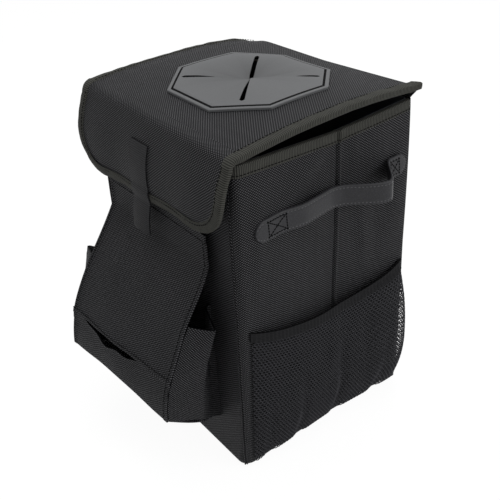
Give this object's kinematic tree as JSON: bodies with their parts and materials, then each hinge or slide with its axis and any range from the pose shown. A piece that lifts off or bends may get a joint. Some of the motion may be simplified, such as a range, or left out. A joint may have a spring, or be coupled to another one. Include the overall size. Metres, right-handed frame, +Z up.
{
  "type": "car trash bin",
  "caption": "Soft-sided lidded bin for a car: stiffened cloth box with a slit rubber top, front flap, tissue pocket, side net pockets and carry handles.",
  "frame": {"origin": "middle of the flat underside of the bin, on the surface that it stands on", "axes": "+X across the width, -Y the front with the flap and tissue pocket, +Y the back with the lid fold and hanging strap, +Z up"},
  "size_m": [0.244, 0.271, 0.3178],
  "materials": {
    "oxford_cloth": "coated oxford cloth, basket weave, slight sheen",
    "stiff_board": "plain sheet",
    "lining_film": "smooth waterproof film",
    "binding_tape": "ribbed woven tape",
    "strap_leather": "grained, edge stitched",
    "hook_and_loop": "pile and hooks",
    "mesh_net": "open knitted net",
    "elastic_hem": "folded cloth over elastic",
    "webbing": "ribbed webbing",
    "buckle_plastic": "moulded, fine texture",
    "cover_rubber": "moulded satin rubber"
  },
  "bodies": {
    "bin": {"front_panel": "oxford_cloth", "back_panel": "oxford_cloth", "side_panel_right": "oxford_cloth", "side_panel_left": "oxford_cloth", "floor_panel": "oxford_cloth", "tissue_front_upper": "oxford_cloth", "tissue_front_lower": "oxford_cloth", "tissue_gusset_right": "oxford_cloth", "tissue_gusset_left": "oxford_cloth", "tissue_floor": "oxford_cloth", "front_board": "stiff_board", "back_board": "stiff_board", "floor_board": "stiff_board", "waterproof_lining": "lining_film", "rim_binding": "binding_tape", "handle_right": "strap_leather", "handle_left": "strap_leather", "loop_patch": "hook_and_loop", "mesh_net_right": "mesh_net", "mesh_net_left": "mesh_net", "mesh_hem_right": "elastic_hem", "mesh_hem_left": "elastic_hem", "rear_strap_fixed": "webbing", "rear_strap_adjusting": "webbing", "buckle_socket": "buckle_plastic", "buckle_plug": "buckle_plastic", "strap_slider": "buckle_plastic"},
    "lid": {"lid_panel": "oxford_cloth", "lid_board": "stiff_board", "lid_lining": "lining_film", "lid_binding": "binding_tape", "slit_cover": "cover_rubber"},
    "flap": {"flap_panel": "oxford_cloth", "flap_lining": "lining_film", "flap_binding": "binding_tape", "hook_patch": "hook_and_loop", "pull_tab": "webbing"}
  },
  "joints": [
    {"name": "lid_hinge", "type": "hinge", "parent": "bin", "child": "lid", "pos_m": [0, 0.091, 0.308], "axis": [-1, 0, 0], "range_deg": [0, 180]},
    {"name": "flap_hinge", "type": "hinge", "parent": "lid", "child": "flap", "pos_m": [0, -0.096, 0.308], "axis": [-1, 0, 0], "range_deg": [0, 180]}
  ]
}
